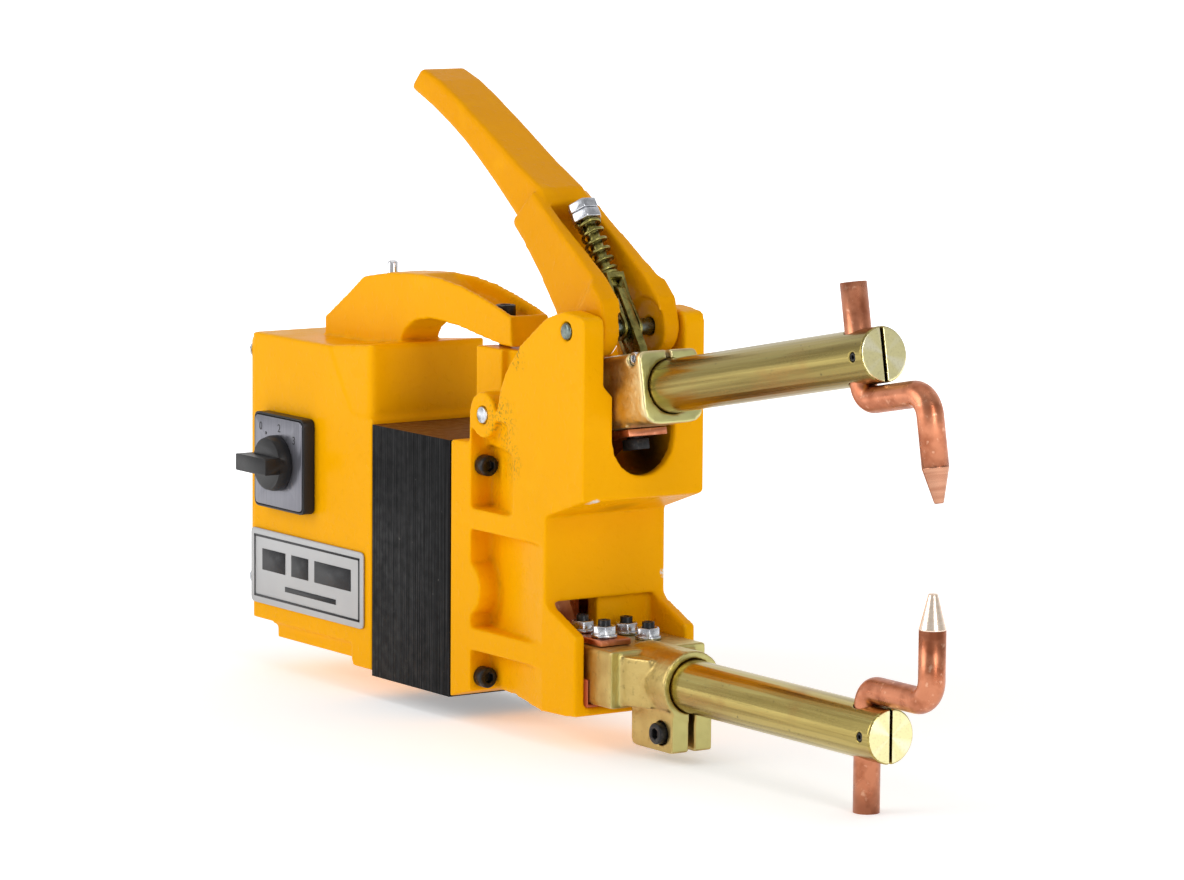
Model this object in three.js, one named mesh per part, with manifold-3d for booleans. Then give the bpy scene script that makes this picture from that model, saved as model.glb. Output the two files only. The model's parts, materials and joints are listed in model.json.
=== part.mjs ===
// Portable spot welder with a squeeze lever, built as a three.js scene graph.
// Millimetres, +Z up. X runs along the arms to the electrodes, Y across the body, and the origin is the
// centre of the underside of the transformer core. The body is symmetric about Y = 0.
import * as THREE from 'three';
import { mergeVertices } from 'three/addons/utils/BufferGeometryUtils.js';
import Module from 'manifold-3d';

const wasm = await Module();
wasm.setup();

// ---------------------------------------------------------------- driving dimensions

const GAP = 0.3; // between pieces that touch
const HALF_BODY = 34; // half width of the core and of both castings

const CORE = {
  halfLength: 35, height: 124.5, windowInner: 11, windowOuter: 21.5, windowLow: 19, windowHigh: 106,
};
const REAR = { back: -149.2, front: -CORE.halfLength - GAP, top: 159.7, wall: 5 };
const FRONT = { back: CORE.halfLength + GAP, flange: 53, lowerFace: 117.4, upperFace: 148.1, lip: 142.6 };

const LEVER_PIVOT = [133.2, 185.9]; // X, Z
const ROCKER_PIVOT = [62.8, 139.6];
const LEVER_PIN_R = 4;
const ROCKER_PIN_R = 4;
const SLOT_HALF = 22.5; // slot of the front casting that holds the rocker and the lever fork

const ARM = { radius: 12.5, tilt: THREE.MathUtils.degToRad(10.73), axisOffset: 2.3, lowerZ: 25.3 };
const ARM_TIP = { fromEnd: 17, slit: 1.5, slitDepth: 12 };
const ELECTRODE = {
  radius: 6, run: 19, bends: [7.5, 10], reach: 45, shoulder: 51.7, tip: 67, tipRadius: 1.9,
};
const STUB = { upper: 33.2, lower: 36.3 };

const ROD = { pinToPivot: 19, linkEnd: 40, rodEnd: 86.6, nutStart: 75.6, nut: 4.6, yokeTop: 26.4 };
const ROD_DIRECTION = new THREE.Vector2(-0.571, 0.821).normalize();
const YOKE = { half: 4.8, inside: 3.4 };

const TIE = { y: 27, low: 12.3, high: 114.3, radius: 3 };
const SWITCH = { x: -112.6, z: 97.2, side: 48, stand: 6.5 };
const PLUNGER = { x: -62.8, y: -5, radius: 2.75, top: 201.5 };

// ---------------------------------------------------------------- materials

function finish(colour, roughness, metalness) {
  return () => new THREE.MeshStandardMaterial({ color: colour, roughness, metalness });
}

const enamel = finish(0xf0a30f, 0.35, 0.0);
const lamination = finish(0x1d1d1f, 0.7, 0.3);
const insulation = finish(0xb24a22, 0.6, 0.0);
const copper = finish(0xb8694a, 0.3, 1.0);
const brass = finish(0xb59a55, 0.3, 1.0);
const bronze = finish(0xb8936a, 0.4, 1.0);
const zinc = finish(0xc3c8cf, 0.3, 1.0);
const oliveZinc = finish(0x8a7f3a, 0.4, 1.0);
const blackOxide = finish(0x1a1a1a, 0.45, 0.6);
const chrome = finish(0xd8dadd, 0.1, 1.0);
const plastic = finish(0x17181a, 0.5, 0.0);
const brushed = finish(0x9a9aa6, 0.35, 1.0);
const steelPlate = finish(0xb4b4b6, 0.4, 0.9);

// ---------------------------------------------------------------- geometry helpers

const object = new THREE.Group();

function add(name, body, material) {
  const mesh = new THREE.Mesh(toGeometry(body), material());
  mesh.name = name;
  object.add(mesh);
}

function toSolid(geometry) {
  const bare = geometry.clone();
  bare.deleteAttribute('normal');
  bare.deleteAttribute('uv');
  const merged = mergeVertices(bare, 1e-4);
  return new wasm.Manifold(new wasm.Mesh({
    numProp: 3,
    vertProperties: new Float32Array(merged.attributes.position.array),
    triVerts: new Uint32Array(merged.index.array),
  }));
}

function toGeometry(body) {
  const mesh = body.getMesh();
  const geometry = new THREE.BufferGeometry();
  geometry.setAttribute('position', new THREE.BufferAttribute(new Float32Array(mesh.vertProperties), 3));
  geometry.setIndex(new THREE.BufferAttribute(new Uint32Array(mesh.triVerts), 1));
  const flat = geometry.toNonIndexed();
  flat.computeVertexNormals();
  return flat;
}

function join(...bodies) {
  return bodies.reduce((sum, body) => sum.add(body));
}

function cut(body, ...tools) {
  return tools.reduce((rest, tool) => rest.subtract(tool), body);
}

// A closed outline; a third number on a point rounds that corner with that radius.
function outline(points) {
  const shape = new THREE.Shape();
  const count = points.length;
  points.forEach(([u, v, radius = 0], index) => {
    const corner = new THREE.Vector2(u, v);
    if (radius === 0) {
      if (index === 0) shape.moveTo(u, v);
      else shape.lineTo(u, v);
      return;
    }
    const before = new THREE.Vector2(...points[(index + count - 1) % count].slice(0, 2));
    const after = new THREE.Vector2(...points[(index + 1) % count].slice(0, 2));
    const toBefore = before.sub(corner).normalize();
    const toAfter = after.sub(corner).normalize();
    const reach = radius / Math.tan(Math.acos(THREE.MathUtils.clamp(toBefore.dot(toAfter), -1, 1)) / 2);
    const start = corner.clone().addScaledVector(toBefore, reach);
    const end = corner.clone().addScaledVector(toAfter, reach);
    if (index === 0) shape.moveTo(start.x, start.y);
    else shape.lineTo(start.x, start.y);
    shape.quadraticCurveTo(u, v, end.x, end.y);
  });
  return shape;
}

function extrude(points, depth) {
  return new THREE.ExtrudeGeometry(outline(points), { depth, bevelEnabled: false, curveSegments: 4 });
}

// Corner points of a rectangle with rounded corners.
function rectangle(u0, u1, v0, v1, radius) {
  return [[u0, v0, radius], [u1, v0, radius], [u1, v1, radius], [u0, v1, radius]];
}

// Outline in X and Z, extruded from y0 to y1.
function acrossY(points, y0, y1) {
  const geometry = extrude(points, y1 - y0);
  geometry.rotateX(Math.PI / 2);
  geometry.translate(0, y1, 0);
  return toSolid(geometry);
}

// Outline in X and Y, extruded from z0 to z1.
function upZ(points, z0, z1) {
  const geometry = extrude(points, z1 - z0);
  geometry.translate(0, 0, z0);
  return toSolid(geometry);
}

// Outline in Y and Z, extruded from x0 to x1.
function alongX(points, x0, x1) {
  const geometry = extrude(points, x1 - x0);
  geometry.applyMatrix4(new THREE.Matrix4().set(0, 0, 1, x0, 1, 0, 0, 0, 0, 1, 0, 0, 0, 0, 0, 1));
  return toSolid(geometry);
}

function box(x0, x1, y0, y1, z0, z1) {
  const geometry = new THREE.BoxGeometry(x1 - x0, y1 - y0, z1 - z0);
  geometry.translate((x0 + x1) / 2, (y0 + y1) / 2, (z0 + z1) / 2);
  return toSolid(geometry);
}

// A body of revolution from a point along a direction; profile pairs are [radius, distance along it].
function turned(from, direction, profile, sides = 24) {
  const points = profile.map(([radius, distance]) => new THREE.Vector2(radius, distance));
  const geometry = new THREE.LatheGeometry(points, sides);
  const turn = new THREE.Quaternion().setFromUnitVectors(
    new THREE.Vector3(0, 1, 0),
    new THREE.Vector3(...direction).normalize(),
  );
  geometry.applyQuaternion(turn);
  geometry.translate(...from);
  return toSolid(geometry);
}

function rod(from, direction, radius, length, sides = 24) {
  return turned(from, direction, [[0, 0], [radius, 0], [radius, length], [0, length]], sides);
}

function pinAcross([x, z], radius, y0, y1, sides = 24) {
  return rod([x, y0, z], [0, 1, 0], radius, y1 - y0, sides);
}

function hexNut(from, direction, acrossFlats, height, bore) {
  const corner = acrossFlats / Math.sqrt(3);
  return cut(rod(from, direction, corner, height, 6), borer(from, direction, bore, height));
}

// Square-ended box that reaches across Y from one distance to another on one side of the middle plane.
function sideBox(x0, x1, side, inner, outer, z0, z1) {
  return box(x0, x1, Math.min(side * inner, side * outer), Math.max(side * inner, side * outer), z0, z1);
}

function borer(from, direction, radius, length, sides = 20) {
  const unit = new THREE.Vector3(...direction).normalize();
  const start = new THREE.Vector3(...from).addScaledVector(unit, -1);
  return rod(start.toArray(), direction, radius, length + 2, sides);
}

// Socket-head screw: head first, then the shank, along the direction it is driven in.
function socketScrew(face, direction, size) {
  const { headRadius, head, radius, length } = size;
  const screw = turned(face, direction, [
    [0, 0], [headRadius - 0.5, 0], [headRadius, 0.5], [headRadius, head],
    [radius, head], [radius, head + length], [0, head + length],
  ]);
  const socket = rod(face, direction, headRadius * 0.55, head * 0.55, 6);
  const back = new THREE.Vector3(...direction).normalize().multiplyScalar(-0.5);
  return cut(screw, socket.translate(back.toArray()));
}

const bothSides = (make) => [make(-1), make(1)];

// ---------------------------------------------------------------- transformer

function buildCore() {
  const { halfLength, height, windowInner, windowOuter, windowLow, windowHigh } = CORE;
  const stack = box(-halfLength, halfLength, -HALF_BODY, HALF_BODY, 0, height);
  const windows = bothSides((side) => sideBox(
    -halfLength - 1, halfLength + 1, side, windowInner, windowOuter, windowLow, windowHigh,
  ));
  const holes = tieBores(-halfLength - 1, 2 * halfLength + 2);
  add('core_laminations', cut(stack, ...windows, ...holes), lamination);
}

function tiePlaces() {
  return [TIE.low, TIE.high].flatMap((z) => [[-TIE.y, z], [TIE.y, z]]);
}

function tieBores(x, length) {
  return tiePlaces().map(([y, z]) => rod([x, y, z], [1, 0, 0], TIE.radius + GAP, length, 12));
}

function buildTieBolts() {
  const names = ['lower_near', 'lower_far', 'upper_near', 'upper_far'];
  const size = { headRadius: 5, head: 6, radius: TIE.radius, length: 104 };
  tiePlaces().forEach(([y, z], index) => {
    const bolt = socketScrew([FRONT.flange + GAP + size.head, y, z], [-1, 0, 0], size);
    add(`tie_bolt_${names[index]}`, bolt, blackOxide);
  });
}

function buildWindings() {
  const inner = [CORE.halfLength + 0.6, CORE.windowInner + 0.5];
  const outer = [CORE.halfLength + 11, CORE.windowOuter - 0.7];
  const ring = ([halfX, halfY], low, high, radius) => upZ(
    rectangle(-halfX, halfX, -halfY, halfY, radius), low, high,
  );
  const primary = cut(ring(outer, 21, 70, 6), ring(inner, 20, 71, 1));
  add('primary_coil', primary, insulation);

  const legInner = CORE.windowInner + 0.6;
  const legOuter = legInner + 5;
  const [legLow, legHigh] = [74, 102];
  const nearLeg = box(-46, 95.5, -legOuter, -legInner, legLow, legHigh);
  const farLeg = box(-46, 90, legInner, legOuter, legLow, legHigh);
  const bridge = box(-46, -38, -legOuter, legOuter, legLow, legHigh);
  const terminal = box(84, 90, -8, legOuter, legLow, legHigh);
  add('secondary_turn', join(nearLeg, farLeg, bridge, terminal), copper);
}

// ---------------------------------------------------------------- rear casting with the handle

const HANDLE_HALF = 11;
const HANDLE_TOP = [
  [-93.2, 184.2], [-81, 192.4], [-56, 196.4], [-28.4, 198], [-10, 197.2], [8, 195],
  [26, 191.2], [43, 186.8], [52, 183.9],
];
const HANDLE_UNDER = [
  [53.3, 169.3], [43, 169.8], [25.6, 172.2], [8, 175], [-7.3, 176.2], [-19, 176.6], [-32.7, 174.6],
  [-42, 169.2], [-46.5, 162.6], [-50, 155],
];
const SADDLE = { front: -37, top: 163.4, half: 33.5, corner: 4 };
const TROUGH = { half: 8.6, depth: 8, front: 49.5 };
const HANDLE_SCREW = { x: 31, seat: 181.8 };

function buildRearCasting() {
  const { back, front, top, wall } = REAR;
  const side = [
    [back, 13.5], [-128.6, 13.5, 2], [-128.6, 6], [-55, 6, 2], [-53, 2.2], [front, 2.2],
    [front, 127], [-54, 127], [-76.6, top], [back, top],
  ];
  const shell = acrossY(side, -HALF_BODY, HALF_BODY);
  const saddle = acrossY([
    [-90, 126], [SADDLE.front, 126], [SADDLE.front, SADDLE.top, 2], [-76, top], [-90, top],
  ], -SADDLE.half, SADDLE.half).intersect(
    upZ(rectangle(-110, SADDLE.front, -SADDLE.half, SADDLE.half, SADDLE.corner), 120, 170),
  );
  const handle = acrossY([
    [-117, 155], [-117, 169.5], ...HANDLE_TOP, ...HANDLE_UNDER,
  ], -HANDLE_HALF, HANDLE_HALF);
  const crown = HANDLE_TOP.slice(3, -1);
  const floor = crown.slice(1).reverse().map(([x, z]) => [x, z - TROUGH.depth]);
  const trough = acrossY([
    [-42, 199], ...crown.map(([x, z]) => [x, z + 3]), [TROUGH.front, 189], [TROUGH.front, 176.6],
    ...floor, crown[0],
  ], -TROUGH.half, TROUGH.half);
  const footInset = bothSides((side) => sideBox(-128.7, -54.9, side, 32, 35, 5, 13.5));

  const cavity = acrossY([
    [back - 1, 18.5], [-58, 18.5], [-58, 118], [-80, 154.5], [back - 1, 154.5],
  ], -HALF_BODY + wall, HALF_BODY - wall);
  const coilRoom = box(-59, front + 1, -21.8, 21.8, 19, 105);
  const switchPocket = box(-78, -58, -9.6, 7, 117, 182);
  const plungerBore = rod([PLUNGER.x, PLUNGER.y, 180], [0, 0, 1], PLUNGER.radius + GAP, 25, 20);
  const knobBore = pinAcross([SWITCH.x, SWITCH.z], 16, -HALF_BODY - 1, -HALF_BODY + wall + 1, 24);
  const screwBore = join(
    rod([HANDLE_SCREW.x, 0, 150], [0, 0, 1], 3.3, 45, 16),
    rod([HANDLE_SCREW.x, 0, HANDLE_SCREW.seat], [0, 0, 1], 5.6, 9, 20),
  );
  const bosses = coverScrewPlaces().map(([y, z]) => box(back, -134, y - 4.1, y + 4.1, z - 5, z + 5));
  const bossBores = coverScrewPlaces().map(([y, z]) => rod([back - 1, y, z], [1, 0, 0], 2.3, 14, 12));

  const hollow = cut(join(shell, saddle, handle), trough, ...footInset, cavity, coilRoom, switchPocket);
  const bossed = bosses.reduce((body, boss) => body.add(boss), hollow);
  const bored = cut(bossed, plungerBore, knobBore, screwBore, ...tieBores(-52.5, 30), ...bossBores);
  add('rear_casting', bored, enamel);

  const screwSize = { headRadius: 5, head: 5.5, radius: 3, length: 22 };
  const screwFace = HANDLE_SCREW.seat + GAP + screwSize.head;
  add('handle_screw', socketScrew([HANDLE_SCREW.x, 0, screwFace], [0, 0, -1], screwSize), blackOxide);
}

function coverScrewPlaces() {
  return [34, 150].flatMap((z) => [[-29.8, z], [29.8, z]]);
}

function buildRearCover() {
  const { back } = REAR;
  const [low, high, half, gauge] = [24, 157.5, 33.2, 2];
  const plate = alongX(rectangle(-half, half, low, high, 3), back - GAP - gauge, back - GAP);
  const holes = coverScrewPlaces().map(([y, z]) => rod([back - 4, y, z], [1, 0, 0], 2.3, 8, 12));
  const glandHole = rod([back - 4, 0, 52], [1, 0, 0], 8.3, 8, 20);
  add('rear_cover', cut(plate, ...holes, glandHole), enamel);

  const head = back - 2 * GAP - gauge;
  coverScrewPlaces().forEach(([y, z], index) => {
    const screw = turned([head - 3, y, z], [1, 0, 0], [
      [0, 0], [2.6, 0.3], [3.9, 1.4], [3.9, 3], [2, 3], [2, 14], [0, 14],
    ], 20);
    const slot = box(head - 3.5, head - 2, y - 0.5, y + 0.5, z - 3.2, z + 3.2);
    add(`cover_screw_${index + 1}`, cut(screw, slot), zinc);
  });

  const gland = cut(
    turned([back + 4, 0, 52], [-1, 0, 0], [
      [0, 0], [8, 0], [8, 6.9], [13, 6.9], [13, 13], [10, 14], [9, 24], [7, 26], [0, 26],
    ], 24),
    rod([back + 6, 0, 52], [-1, 0, 0], 4.5, 40, 16),
  );
  add('cable_gland', gland, plastic);
}

// ---------------------------------------------------------------- selector switch and plate

function buildSwitch() {
  const { x, z, side, stand } = SWITCH;
  const face = -HALF_BODY - GAP;
  const square = (half, radius) => rectangle(x - half, x + half, z - half, z + half, radius);
  const frame = cut(
    acrossY(square(side / 2, 4), face - stand, face),
    acrossY(square(side / 2 - 1.2, 3), face - stand - 1, face - stand + 1.2),
    pinAcross([x, z], 7, face - stand - 1, face + 1),
  );
  add('switch_frame', frame, plastic);
  add('switch_plate', cut(
    acrossY(square(side / 2 - 1.5, 3), face - stand - 0.4, face - stand + 0.9),
    pinAcross([x, z], 7, face - stand - 1, face + 1),
  ), brushed);

  const body = join(
    box(x - 19, x + 19, -HALF_BODY + REAR.wall + GAP, 4, z - 22, z + 22),
    pinAcross([x, z], 15.5, face + GAP, -HALF_BODY + REAR.wall + 1),
  );
  add('switch_body', cut(body, pinAcross([x, z], 4.6, face - 1, -20)), plastic);

  const skirt = face - stand - 0.4 - GAP;
  const knob = join(
    turned([x, skirt, z], [0, -1, 0], [[0, 0], [14, 0], [14, 3], [13, 6.5], [0, 6.5]], 32),
    acrossY(rectangle(x - 16, x + 13, z - 4.2, z + 4.2, 1), skirt - 14.8, skirt - 6),
    pinAcross([x, z], 4, skirt - 1, -22),
  );
  add('switch_knob', knob, plastic);

  add('nameplate', acrossY(rectangle(-149, -41.5, 22, 60.2, 3), face - 1, face), steelPlate);
}

// ---------------------------------------------------------------- trigger switch in the handle

function buildTrigger() {
  const { x, y, radius, top } = PLUNGER;
  const foot = 178.9;
  const height = top - foot;
  const plunger = turned([x, y, foot], [0, 0, 1], [
    [0, 0], [4.2, 0], [4.2, 2], [radius, 2], [radius, height - 1], [radius - 1, height], [0, height],
  ], 20);
  add('trigger_plunger', plunger, chrome);
  add('microswitch', join(
    box(-76, -59, -8.5, 1.5, 150, 171.8),
    box(-65.3, -60.3, -7.5, -2.5, 171, 174),
  ), plastic);
}

// ---------------------------------------------------------------- front casting

// Hollows beside the flange: from and to in Z, where they run out in X, and Y of their floor at the flange.
const SCOOPS = [[-1, 25.5, 115, 21.5], [36.5, 84, 115, 21.5], [94, 124, 90, 21.5], [123, 138, 86, 25.5]];

function buildFrontCasting() {
  const { back, flange, lowerFace, upperFace, lip } = FRONT;
  const side = [
    [back, 0.5], [56, 6.2, 6], [80, 7.2, 6], [113, 5], [lip, 6.3, 2], [lip, 44.5, 2], [119.8, 54.5],
    [lowerFace, 57], [lowerFace, 97.5], [upperFace, 107.9, 1], [upperFace, 193, 5], [130.6, 195.1, 8],
    [115.7, 190.5, 8], [94.9, 176, 8], [82.3, 162, 8], [77.5, 152], [73.8, 139.6], [52, 126], [back, 124.9],
  ];
  const walls = join(
    acrossY(side, -HALF_BODY, HALF_BODY),
    pinAcross(ROCKER_PIVOT, 11, -HALF_BODY, HALF_BODY, 32),
    acrossY([[51.8, 120], [75, 120], [75, 139.6], [51.8, 139.6]], -HALF_BODY, HALF_BODY),
  );

  const scoops = SCOOPS.flatMap(([low, high, end, floor]) => bothSides((sign) => {
    const plan = [[flange, 36], [flange, floor], [59, floor], [end, HALF_BODY], [end, 36]];
    return upZ(plan.map(([x, y]) => [x, sign * y]), low, high);
  }));
  const boss = cut(
    pinAcross([48, 55], 13.5, -HALF_BODY, HALF_BODY, 32),
    box(0, flange - 0.5, -40, 40, 30, 80),
  );
  const upperBoss = pinAcross(ROCKER_PIVOT, 11, -HALF_BODY, HALF_BODY, 32);

  const inside = upZ([
    [back - 1, -21.8], [49, -21.8], [49, -16.9], [76, -16.9], [93, -26.8], [113, -26.8],
    [113, -1], [104, -1], [104, 16.9], [49, 16.9], [49, 21.8], [back - 1, 21.8],
  ], 19, 103);
  const underRoom = box(112.4, lip + 5, -28.4, 28.4, 10.7, 57);
  const rockerRoom = acrossY([
    [40, 126.9], [84, 126.9], [90, 113], [143, 113], [143, 210], [88, 210], [88, 162], [84, 155.5],
    [40, 155.5],
  ], -SLOT_HALF, SLOT_HALF);
  const mouth = alongX([
    [-17.5, 135.5], [-16.2, 128.8], [-12.4, 123.1], [-6.7, 119.3], [0, 118], [6.7, 119.3], [12.4, 123.1],
    [16.2, 128.8], [17.5, 135.5], [17.5, 156], [SLOT_HALF, 161], [SLOT_HALF, 210], [-SLOT_HALF, 210],
    [-SLOT_HALF, 161], [-17.5, 156],
  ], 142, upperFace + 5);
  const shuntWay = box(91, 110, -15, 15, 100, 116);
  const leverBore = pinAcross(LEVER_PIVOT, LEVER_PIN_R + GAP, -40, 40);
  const rockerBore = pinAcross(ROCKER_PIVOT, ROCKER_PIN_R + GAP, -40, 40);

  const web = join(
    box(27, 88, -10, 10, 155.5, 168.3),
    box(27, 49.5, -14, 14, 124, 168.3),
  );
  const webUnder = box(20, back + 0.1, -16, 16, 100, 126);
  const screwBore = rod([HANDLE_SCREW.x, 0, 157], [0, 0, 1], 3.3, 20, 16);

  const shell = cut(
    join(cut(walls, ...scoops), boss, cut(upperBoss, box(0, 51, -40, 40, 100, 160))),
    inside, underRoom, rockerRoom, mouth, shuntWay,
  );
  const body = cut(join(shell, web), webUnder, leverBore, rockerBore, screwBore, ...tieBores(back - 1, 40));
  add('front_casting', body, enamel);
}

// ---------------------------------------------------------------- rocker, upper arm and its parts

// Everything on the rocker is laid out along the tilted arm, from the rocker pivot.
function tilted(body) {
  const [x, z] = ROCKER_PIVOT;
  return body.rotate([0, -THREE.MathUtils.radToDeg(ARM.tilt), 0]).translate([x, 0, z]);
}

const CLAMP_START = 76;
const BORE_START = 92;
const CLAMP_END = 109.5;
const ARM_END = 271.5;

function rodPinPlace() {
  const dx = LEVER_PIVOT[0] - ROD_DIRECTION.x * ROD.pinToPivot;
  const dz = LEVER_PIVOT[1] - ROD_DIRECTION.y * ROD.pinToPivot;
  return [dx, dz];
}

function buildRocker() {
  const beam = acrossY([
    [0, 8.5], [28, 8.5, 6], [48, 14.8], [90, 14.8], [90, -14.7], [60, -14.7, 6], [20, -10.5], [0, -10.5],
  ], -14, 14);
  const hub = pinAcross([0, 0], 10.5, -SLOT_HALF + 0.6, SLOT_HALF - 0.6, 32);
  const pads = acrossY([[46, 5, 2], [72, 5, 2], [72, 14.8], [48, 14.8]], -20.5, 20.5);
  const holder = alongX([
    [-16.5, -14.7, 8], [16.5, -14.7, 8], [16.5, 19.3, 4], [-16.5, 19.3, 4],
  ], CLAMP_START, CLAMP_END);
  const linkRoom = acrossY([[78, 7], [91.6, 7], [91.6, 25], [68, 25], [75, 12]], -2.6, 2.6);

  const bore = rod([BORE_START, 0, ARM.axisOffset], [1, 0, 0], ARM.radius + GAP, 40, 32);
  const hubBore = pinAcross([0, 0], 6.3, -30, 30, 24);
  const split = box(91, CLAMP_END + 1, -1.2, 1.2, ARM.axisOffset, 25);
  const clampBore = pinAcross([102.5, 16.4], 1.9, -17.5, 12, 12);
  const clampSink = pinAcross([102.5, 16.4], 3.4, -17.5, -11.5, 16);
  const boltBore = rod([76, 0, -20], [0, 0, 1], 4.2, 17, 16);

  const solid = join(beam, hub, pads, holder);
  const casting = cut(solid, bore, hubBore, split, linkRoom, clampBore, clampSink, boltBore);
  const rocker = cut(tilted(casting), pinAcross(rodPinPlace(), 2.8, -7, 7, 16));
  add('arm_rocker', rocker, bronze);

  const bush = cut(pinAcross(ROCKER_PIVOT, 6, -22, 22), pinAcross(ROCKER_PIVOT, ROCKER_PIN_R + GAP, -30, 30));
  add('rocker_bush', bush, insulation);
  add('rocker_pin', pinAcross(ROCKER_PIVOT, ROCKER_PIN_R, -34.4, 34.4, 24), zinc);
  add('rod_pin', pinAcross(rodPinPlace(), 2.5, -6.4, 6.4, 16), zinc);

  const clampScrew = cut(
    turned([102.5, -15, 16.4], [0, 1, 0], [[0, 0], [3.1, 0], [3.1, 3.2], [1.6, 3.2], [1.6, 24], [0, 24]], 16),
    rod([102.5, -15.5, 16.4], [0, 1, 0], 1.7, 2.2, 6),
  );
  add('upper_clamp_screw', tilted(clampScrew), zinc);

  const shank = rod([76, 0, -19.6], [0, 0, 1], 3.9, 12, 16);
  const hexHead = rod([76, 0, -24.6], [0, 0, 1], 6.9, 5, 6);
  add('shunt_bolt', tilted(join(shank, hexHead)), blackOxide);
}

// A round bar along +X from start to end, slit and cross-bored at its far end for an electrode.
function armBar(start, end, height, boltSide) {
  const hole = end - ARM_TIP.fromEnd;
  const [radius, length] = [ARM.radius, end - start];
  const bar = turned([start, 0, height], [1, 0, 0], [
    [0, 0], [radius, 0], [radius, length - 0.6], [radius - 0.6, length], [0, length],
  ], 36);
  return cut(
    bar,
    rod([hole, 0, height - 20], [0, 0, 1], ELECTRODE.radius + GAP, 40, 24),
    box(end - ARM_TIP.slitDepth, end + 1, -ARM_TIP.slit / 2, ARM_TIP.slit / 2, height - 20, height + 20),
    rod([hole + 10, boltSide * 13, height], [0, -boltSide, 0], 2.2, 10, 12),
  );
}

function armScrew(hole, height, boltSide) {
  const screw = rod([hole + 10, boltSide * 12, height], [0, -boltSide, 0], 1.9, 7, 12);
  return cut(screw, rod([hole + 10, boltSide * 13, height], [0, -boltSide, 0], 1.1, 3, 6));
}

// Quarter bend in the X-Z plane, turning from the first direction into the second.
class QuarterBend extends THREE.Curve {
  constructor(centre, fromCentre, onward) {
    super();
    Object.assign(this, { centre, fromCentre, onward });
  }

  getPoint(t, target = new THREE.Vector3()) {
    const angle = t * Math.PI / 2;
    return target.copy(this.centre)
      .addScaledVector(this.fromCentre, Math.cos(angle))
      .addScaledVector(this.onward, Math.sin(angle));
  }
}

// Bent electrode through an arm at (hole, 0, height); side -1 puts the tip below the arm, +1 above it.
function bentElectrode(hole, height, stub, side) {
  const { radius, run, bends, reach, shoulder, tip, tipRadius } = ELECTRODE;
  const [first, second] = bends;
  const at = (s, h) => new THREE.Vector3(hole + s, 0, height + side * h);
  const move = (s, h) => new THREE.Vector3(s, 0, side * h);
  const path = new THREE.CurvePath();
  path.add(new THREE.LineCurve3(at(0, -stub), at(0, run - first)));
  path.add(new QuarterBend(at(first, run - first), move(-first, 0), move(0, first)));
  path.add(new THREE.LineCurve3(at(first, run), at(reach - second, run)));
  path.add(new QuarterBend(at(reach - second, run + second), move(0, -second), move(second, 0)));
  path.add(new THREE.LineCurve3(at(reach, run + second), at(reach, shoulder)));
  const section = new THREE.Shape();
  section.absarc(0, 0, radius, 0, Math.PI * 2);
  const bar = new THREE.ExtrudeGeometry(section, {
    steps: 48, curveSegments: 8, bevelEnabled: false, extrudePath: path,
  });
  const overlap = 0.6;
  const coneRadius = radius - 0.02;
  const coneEnd = tip - shoulder + overlap;
  const cone = turned(at(reach, shoulder - overlap).toArray(), [0, 0, side], [
    [0, 0], [coneRadius, 0], [coneRadius, overlap], [tipRadius, coneEnd], [0, coneEnd],
  ], 16);
  return join(toSolid(bar), cone);
}

function buildUpperArm() {
  const hole = ARM_END - ARM_TIP.fromEnd;
  add('upper_arm', tilted(armBar(BORE_START + GAP, ARM_END, ARM.axisOffset, -1)), brass);
  add('upper_electrode', tilted(bentElectrode(hole, ARM.axisOffset, STUB.upper, -1)), copper);
  add('upper_electrode_screw', tilted(armScrew(hole, ARM.axisOffset, -1)), blackOxide);
}

function buildShunt() {
  const thickness = 3.4;
  const centre = [
    [92.3, 80], [92.3, 100], [94.6, 110], [101, 118.5], [112, 126], [122, 132.6], [130.7, 135.3],
    [151.2, 139.1],
  ];
  const offset = (sign) => centre.map(([x, z], index) => {
    const before = centre[Math.max(index - 1, 0)];
    const after = centre[Math.min(index + 1, centre.length - 1)];
    const along = new THREE.Vector2(after[0] - before[0], after[1] - before[1]).normalize();
    return [x - sign * along.y * thickness / 2, z + sign * along.x * thickness / 2];
  });
  const strap = acrossY([...offset(-1), ...offset(1).reverse()], -10.8, 10.8);
  add('flexible_shunt', cut(strap, tilted(rod([76, 0, -40], [0, 0, 1], 4.3, 36, 16))), copper);
}

// ---------------------------------------------------------------- lever, its pin and the return spring

const GRIP_HALF = 12.5;
const FORK_HALF = 21.5;
const FORK_SLOT = 10.5;
const PIN_ROOM_HALF = 12.6;

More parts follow.
